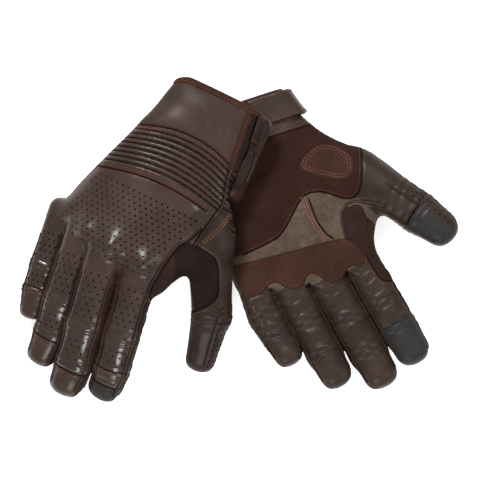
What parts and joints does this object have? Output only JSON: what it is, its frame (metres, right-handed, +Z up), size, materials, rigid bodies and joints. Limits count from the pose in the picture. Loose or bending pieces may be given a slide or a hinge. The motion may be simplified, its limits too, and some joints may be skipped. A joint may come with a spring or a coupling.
{
  "type": "riding gloves",
  "caption": "Pair of short-cuff leather riding gloves with perforated backs, ribbed wrists, padded suede palms and wrist closure straps, one lying palm up and one palm down.",
  "frame": {"origin": "centre of the pair's bounding box in X and Y, on the surface the gloves lie on", "axes": "+X from the right glove's fingers towards the left glove's thumb, +Y towards the cuffs, +Z up"},
  "size_m": [0.3296, 0.2448, 0.0579],
  "materials": {
    "leather": "semi-gloss full-grain leather",
    "suede": "napped suede",
    "binding": "folded suede tape with stitching",
    "guard": "matt foam rubber",
    "hook_and_loop": "hook-and-loop tape",
    "touch_leather": "matt touch-screen leather"
  },
  "bodies": {
    "left_hand": {"left_back_panel": "leather", "left_finger_band": "suede", "left_knuckle_guard": "guard", "left_palm_pad": "suede", "left_palm_panel": "suede", "left_rib_panel_lower": "leather", "left_thumb_patch": "suede"},
    "left_cuff": {"left_cuff_binding": "binding", "left_cuff_panel": "leather", "left_cuff_underside": "suede", "left_loop_pad": "hook_and_loop", "left_rib_panel_upper": "leather"},
    "left_strap": {"left_hook_pad": "hook_and_loop", "left_strap": "leather"},
    "left_index_base": {"left_index_base": "leather"},
    "left_index_middle": {"left_index_middle": "leather"},
    "left_index_tip": {"left_index_tip": "leather", "left_index_touch_pad": "touch_leather"},
    "left_middle_base": {"left_middle_base": "leather"},
    "left_middle_middle": {"left_middle_middle": "leather"},
    "left_middle_tip": {"left_middle_tip": "leather"},
    "left_ring_base": {"left_ring_base": "leather"},
    "left_ring_middle": {"left_ring_middle": "leather"},
    "left_ring_tip": {"left_ring_tip": "leather"},
    "left_little_base": {"left_little_base": "leather"},
    "left_little_middle": {"left_little_middle": "leather"},
    "left_little_tip": {"left_little_tip": "leather"},
    "left_thumb_base": {"left_thumb_base": "leather"},
    "left_thumb_tip": {"left_thumb_tip": "leather", "left_thumb_touch_pad": "touch_leather"},
    "right_hand": {"right_back_panel": "leather", "right_finger_band": "suede", "right_knuckle_guard": "guard", "right_palm_pad": "suede", "right_palm_panel": "suede", "right_rib_panel_lower": "leather", "right_thumb_patch": "suede"},
    "right_cuff": {"right_cuff_binding": "binding", "right_cuff_panel": "leather", "right_cuff_underside": "suede", "right_loop_pad": "hook_and_loop", "right_rib_panel_upper": "leather"},
    "right_strap": {"right_hook_pad": "hook_and_loop", "right_strap": "leather"},
    "right_index_base": {"right_index_base": "leather"},
    "right_index_middle": {"right_index_middle": "leather"},
    "right_index_tip": {"right_index_tip": "leather", "right_index_touch_pad": "touch_leather"},
    "right_middle_base": {"right_middle_base": "leather"},
    "right_middle_middle": {"right_middle_middle": "leather"},
    "right_middle_tip": {"right_middle_tip": "leather"},
    "right_ring_base": {"right_ring_base": "leather"},
    "right_ring_middle": {"right_ring_middle": "leather"},
    "right_ring_tip": {"right_ring_tip": "leather"},
    "right_little_base": {"right_little_base": "leather"},
    "right_little_middle": {"right_little_middle": "leather"},
    "right_little_tip": {"right_little_tip": "leather"},
    "right_thumb_base": {"right_thumb_base": "leather"},
    "right_thumb_tip": {"right_thumb_tip": "leather", "right_thumb_touch_pad": "touch_leather"}
  },
  "joints": [
    {"name": "left_wrist_bend", "type": "hinge", "parent": "left_hand", "child": "left_cuff", "pos_m": [0.02498, 0.06735, 0.01067], "axis": [0.9483, 0.3173, 0], "range_deg": [-20, 14]},
    {"name": "left_strap_open", "type": "hinge", "parent": "left_cuff", "child": "left_strap", "pos_m": [0.04086, 0.10482, 0.00547], "axis": [-0.6059, 0.7956, -0.0054], "range_deg": [0, 100]},
    {"name": "left_index_root_bend", "type": "hinge", "parent": "left_hand", "child": "left_index_base", "pos_m": [0.08967, -0.01013, 0.0145], "axis": [-0.873, -0.4878, 0], "range_deg": [-5, 45]},
    {"name": "left_index_middle_bend", "type": "hinge", "parent": "left_index_base", "child": "left_index_middle", "pos_m": [0.10864, -0.04409, 0.01836], "axis": [-0.873, -0.4878, 0], "range_deg": [0, 55]},
    {"name": "left_index_end_bend", "type": "hinge", "parent": "left_index_middle", "child": "left_index_tip", "pos_m": [0.12158, -0.06724, 0.0234], "axis": [-0.873, -0.4878, 0], "range_deg": [0, 37]},
    {"name": "left_middle_root_bend", "type": "hinge", "parent": "left_hand", "child": "left_middle_base", "pos_m": [0.0628, -0.02123, 0.0145], "axis": [-0.8745, -0.485, 0], "range_deg": [-5, 45]},
    {"name": "left_middle_middle_bend", "type": "hinge", "parent": "left_middle_base", "child": "left_middle_middle", "pos_m": [0.08314, -0.05791, 0.01886], "axis": [-0.8745, -0.485, 0], "range_deg": [0, 55]},
    {"name": "left_middle_end_bend", "type": "hinge", "parent": "left_middle_middle", "child": "left_middle_tip", "pos_m": [0.097, -0.08289, 0.02455], "axis": [-0.8745, -0.485, 0], "range_deg": [0, 37]},
    {"name": "left_ring_root_bend", "type": "hinge", "parent": "left_hand", "child": "left_ring_base", "pos_m": [0.03529, -0.02727, 0.014], "axis": [-0.8875, -0.4608, 0], "range_deg": [-5, 45]},
    {"name": "left_ring_middle_bend", "type": "hinge", "parent": "left_ring_base", "child": "left_ring_middle", "pos_m": [0.053, -0.06138, 0.01849], "axis": [-0.8875, -0.4608, 0], "range_deg": [0, 55]},
    {"name": "left_ring_end_bend", "type": "hinge", "parent": "left_ring_middle", "child": "left_ring_tip", "pos_m": [0.06502, -0.08451, 0.02434], "axis": [-0.8875, -0.4608, 0], "range_deg": [0, 37]},
    {"name": "left_little_root_bend", "type": "hinge", "parent": "left_hand", "child": "left_little_base", "pos_m": [0.00842, -0.02888, 0.013], "axis": [-0.8876, -0.4607, 0], "range_deg": [-5, 45]},
    {"name": "left_little_middle_bend", "type": "hinge", "parent": "left_little_base", "child": "left_little_middle", "pos_m": [0.0224, -0.05582, 0.017], "axis": [-0.8876, -0.4607, 0], "range_deg": [0, 55]},
    {"name": "left_little_end_bend", "type": "hinge", "parent": "left_little_middle", "child": "left_little_tip", "pos_m": [0.03184, -0.07401, 0.0222], "axis": [-0.8876, -0.4607, 0], "range_deg": [0, 37]},
    {"name": "left_thumb_root_bend", "type": "hinge", "parent": "left_hand", "child": "left_thumb_base", "pos_m": [0.10425, 0.04273, 0.019], "axis": [-0.5813, -0.8137, 0], "range_deg": [0, 30]},
    {"name": "left_thumb_end_bend", "type": "hinge", "parent": "left_thumb_base", "child": "left_thumb_tip", "pos_m": [0.1339, 0.02154, 0.027], "axis": [-0.5785, -0.8157, 0], "range_deg": [0, 40]},
    {"name": "right_glove_lift", "type": "slide", "parent": "left_hand", "child": "right_hand", "axis": [0, 0, 1], "range_m": [0, 0.1]},
    {"name": "right_wrist_bend", "type": "hinge", "parent": "right_hand", "child": "right_cuff", "pos_m": [-0.04452, 0.05703, 0.04366], "axis": [-0.8924, 0.4449, -0.0748], "range_deg": [-20, 10]},
    {"name": "right_strap_open", "type": "hinge", "parent": "right_cuff", "child": "right_strap", "pos_m": [0.01283, 0.08151, 0.05335], "axis": [-0.3294, -0.9441, 0.0105], "range_deg": [0, 22]},
    {"name": "right_index_root_bend", "type": "hinge", "parent": "right_hand", "child": "right_index_base", "pos_m": [-0.07503, -0.0328, 0.037], "axis": [0.9434, -0.3091, 0.1204], "range_deg": [-5, 45]},
    {"name": "right_index_middle_bend", "type": "hinge", "parent": "right_index_base", "child": "right_index_middle", "pos_m": [-0.08658, -0.0705, 0.03073], "axis": [0.9384, -0.3252, 0.1164], "range_deg": [0, 55]},
    {"name": "right_index_end_bend", "type": "hinge", "parent": "right_index_middle", "child": "right_index_tip", "pos_m": [-0.0943, -0.09569, 0.02259], "axis": [0.9353, -0.3356, 0.1125], "range_deg": [0, 37]},
    {"name": "right_middle_root_bend", "type": "hinge", "parent": "right_hand", "child": "right_middle_base", "pos_m": [-0.10165, -0.0212, 0.0355], "axis": [0.9435, -0.3013, 0.1379], "range_deg": [-5, 45]},
    {"name": "right_middle_middle_bend", "type": "hinge", "parent": "right_middle_base", "child": "right_middle_middle", "pos_m": [-0.11379, -0.06191, 0.02962], "axis": [0.9387, -0.3175, 0.1345], "range_deg": [0, 55]},
    {"name": "right_middle_end_bend", "type": "hinge", "parent": "right_middle_middle", "child": "right_middle_tip", "pos_m": [-0.12197, -0.08932, 0.02198], "axis": [0.9355, -0.328, 0.131], "range_deg": [0, 37]},
    {"name": "right_ring_root_bend", "type": "hinge", "parent": "right_hand", "child": "right_ring_base", "pos_m": [-0.12067, -0.0078, 0.027], "axis": [0.9318, -0.3236, 0.1642], "range_deg": [-5, 45]},
    {"name": "right_ring_middle_bend", "type": "hinge", "parent": "right_ring_base", "child": "right_ring_middle", "pos_m": [-0.1326, -0.04411, 0.02314], "axis": [0.9272, -0.3377, 0.162], "range_deg": [0, 55]},
    {"name": "right_ring_end_bend", "type": "hinge", "parent": "right_ring_middle", "child": "right_ring_tip", "pos_m": [-0.14073, -0.06885, 0.0181], "axis": [0.9242, -0.3469, 0.1599], "range_deg": [0, 37]},
    {"name": "right_little_root_bend", "type": "hinge", "parent": "right_hand", "child": "right_little_base", "pos_m": [-0.13768, 0.00738, 0.0155], "axis": [0.9313, -0.3106, 0.1906], "range_deg": [-5, 45]},
    {"name": "right_little_middle_bend", "type": "hinge", "parent": "right_little_base", "child": "right_little_middle", "pos_m": [-0.14632, -0.01938, 0.01409], "axis": [0.9286, -0.3188, 0.1899], "range_deg": [0, 55]},
    {"name": "right_little_end_bend", "type": "hinge", "parent": "right_little_middle", "child": "right_little_tip", "pos_m": [-0.15226, -0.03779, 0.01223], "axis": [0.9269, -0.3242, 0.1893], "range_deg": [0, 37]},
    {"name": "right_thumb_root_bend", "type": "hinge", "parent": "right_hand", "child": "right_thumb_base", "pos_m": [-0.0205, -0.00411, 0.037], "axis": [0.9998, 0.0191, 0], "range_deg": [0, 30]},
    {"name": "right_thumb_end_bend", "type": "hinge", "parent": "right_thumb_base", "child": "right_thumb_tip", "pos_m": [-0.01955, -0.05375, 0.027], "axis": [0.9716, -0.2368, 0], "range_deg": [0, 40]}
  ],
  "couplings": [
    {"joint": "left_index_end_bend", "follows": "left_index_middle_bend", "ratio": 0.67},
    {"joint": "left_middle_end_bend", "follows": "left_middle_middle_bend", "ratio": 0.67},
    {"joint": "left_ring_end_bend", "follows": "left_ring_middle_bend", "ratio": 0.67},
    {"joint": "left_little_end_bend", "follows": "left_little_middle_bend", "ratio": 0.67},
    {"joint": "right_index_end_bend", "follows": "right_index_middle_bend", "ratio": 0.67},
    {"joint": "right_middle_end_bend", "follows": "right_middle_middle_bend", "ratio": 0.67},
    {"joint": "right_ring_end_bend", "follows": "right_ring_middle_bend", "ratio": 0.67},
    {"joint": "right_little_end_bend", "follows": "right_little_middle_bend", "ratio": 0.67}
  ]
}
